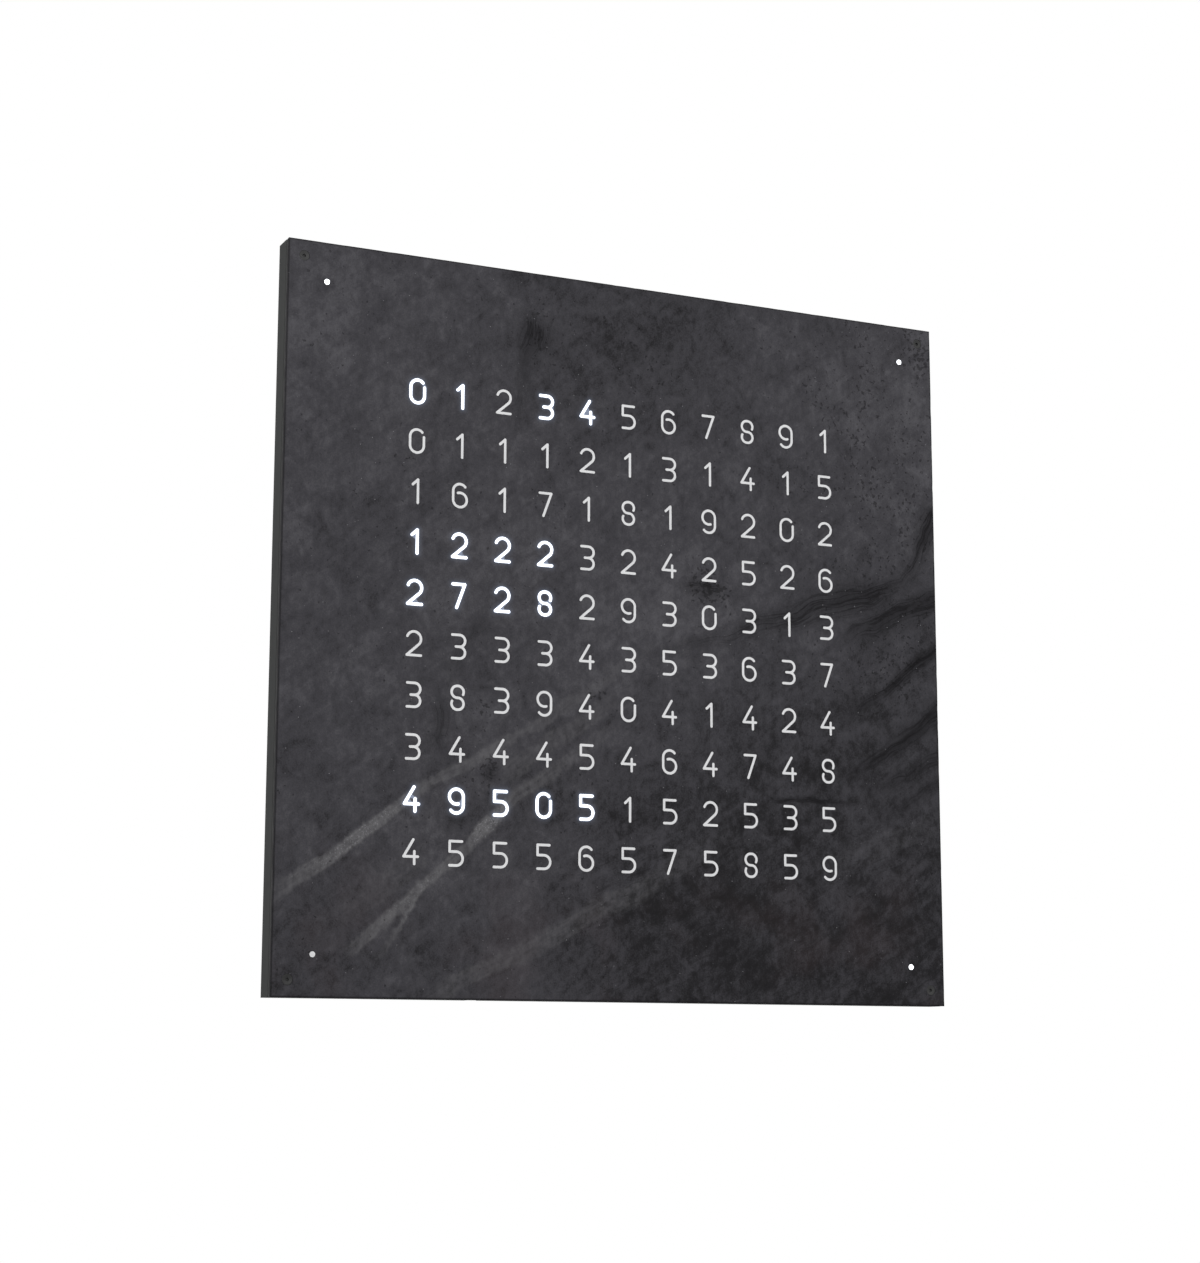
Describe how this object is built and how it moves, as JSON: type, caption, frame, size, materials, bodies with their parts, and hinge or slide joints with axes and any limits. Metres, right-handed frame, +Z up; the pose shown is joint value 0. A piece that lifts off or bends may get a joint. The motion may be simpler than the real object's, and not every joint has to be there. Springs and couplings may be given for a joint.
{
  "type": "word clock",
  "caption": "Square wall clock with a slate front whose cut characters light up to show the time, a slim metal housing, side keys and a recessed power inlet.",
  "frame": {"origin": "centre of the back, in the plane of the wall", "axes": "+X to the right seen from the front, +Y into the wall, +Z up"},
  "size_m": [0.45, 0.02, 0.45],
  "materials": {
    "slate": "riven natural slate, sealed matt",
    "cover_carrier": "dark grey anodised",
    "opal_lit": "opal resin, lit from behind",
    "opal_unlit": "opal resin, unlit",
    "diffuser": "satin opal sheet",
    "magnet_plating": "nickel plated",
    "black_screw": "black, satin",
    "rail_finish": "dark grey powder coat, matt",
    "panel_finish": "black powder coat, fine texture",
    "key_steel": "zinc plated",
    "screw_steel": "zinc plated",
    "pad_rubber": "black rubber",
    "board_laminate": "white solder mask",
    "light_body": "white package, clear resin",
    "light_grid": "white moulded",
    "black_plastic": "black moulded",
    "socket_plastic": "natural nylon",
    "key_plastic": "dark grey, satin",
    "plunger_plastic": "black moulded",
    "spacer_brass": "nickel flashed brass",
    "wire_jacket": "soft black insulation",
    "crystal_can": "bright can",
    "capacitor_sleeve": "dark sleeve",
    "inlet_plating": "nickel plated"
  },
  "bodies": {
    "housing": {"board_ribbon": "wire_jacket", "board_screws": "screw_steel", "board_sockets": "socket_plastic", "board_spacers": "spacer_brass", "bottom_rail": "rail_finish", "button_board": "board_laminate", "button_cable": "wire_jacket", "control_board": "board_laminate", "controller_chip": "black_plastic", "corner_boards": "board_laminate", "corner_keys": "key_steel", "corner_leads": "wire_jacket", "corner_light_tubes": "light_grid", "corner_lights": "light_body", "driver_chips": "black_plastic", "hanger_plates": "key_steel", "hanger_screws": "screw_steel", "inlet_pin": "inlet_plating", "left_rail": "rail_finish", "light_board": "board_laminate", "light_grid": "light_grid", "number_lights_lit": "light_body", "number_lights_unlit": "light_body", "plug_bay": "black_plastic", "power_inlet": "black_plastic", "quartz_crystal": "crystal_can", "rear_panel": "panel_finish", "rear_screws": "screw_steel", "right_rail": "rail_finish", "supply_capacitor": "capacitor_sleeve", "supply_leads": "wire_jacket", "switch_bodies": "black_plastic", "top_rail": "rail_finish", "wall_pads": "pad_rubber"},
    "front_cover": {"slate_plate": "slate", "carrier_plate": "cover_carrier", "number_inlays_lit": "opal_lit", "number_inlays_unlit": "opal_unlit", "minute_inlays_lit": "opal_lit", "minute_inlay_unlit": "opal_unlit", "diffuser_sheet": "diffuser", "cover_magnets": "magnet_plating", "cover_screws": "black_screw"},
    "mode_key": {"mode_button": "key_plastic", "mode_plunger": "plunger_plastic"},
    "minus_key": {"minus_button": "key_plastic", "minus_plunger": "plunger_plastic"},
    "plus_key": {"plus_button": "key_plastic", "plus_plunger": "plunger_plastic"}
  },
  "joints": [
    {"name": "cover_lift", "type": "slide", "parent": "housing", "child": "front_cover", "axis": [0, -1, 0], "range_m": [0, 0.08]},
    {"name": "mode_press", "type": "slide", "parent": "housing", "child": "mode_key", "axis": [-1, 0, 0], "range_m": [0, 0.0008], "stiffness_N_per_m": 1500},
    {"name": "minus_press", "type": "slide", "parent": "housing", "child": "minus_key", "axis": [-1, 0, 0], "range_m": [0, 0.0008], "stiffness_N_per_m": 1500},
    {"name": "plus_press", "type": "slide", "parent": "housing", "child": "plus_key", "axis": [-1, 0, 0], "range_m": [0, 0.0008], "stiffness_N_per_m": 1500}
  ]
}
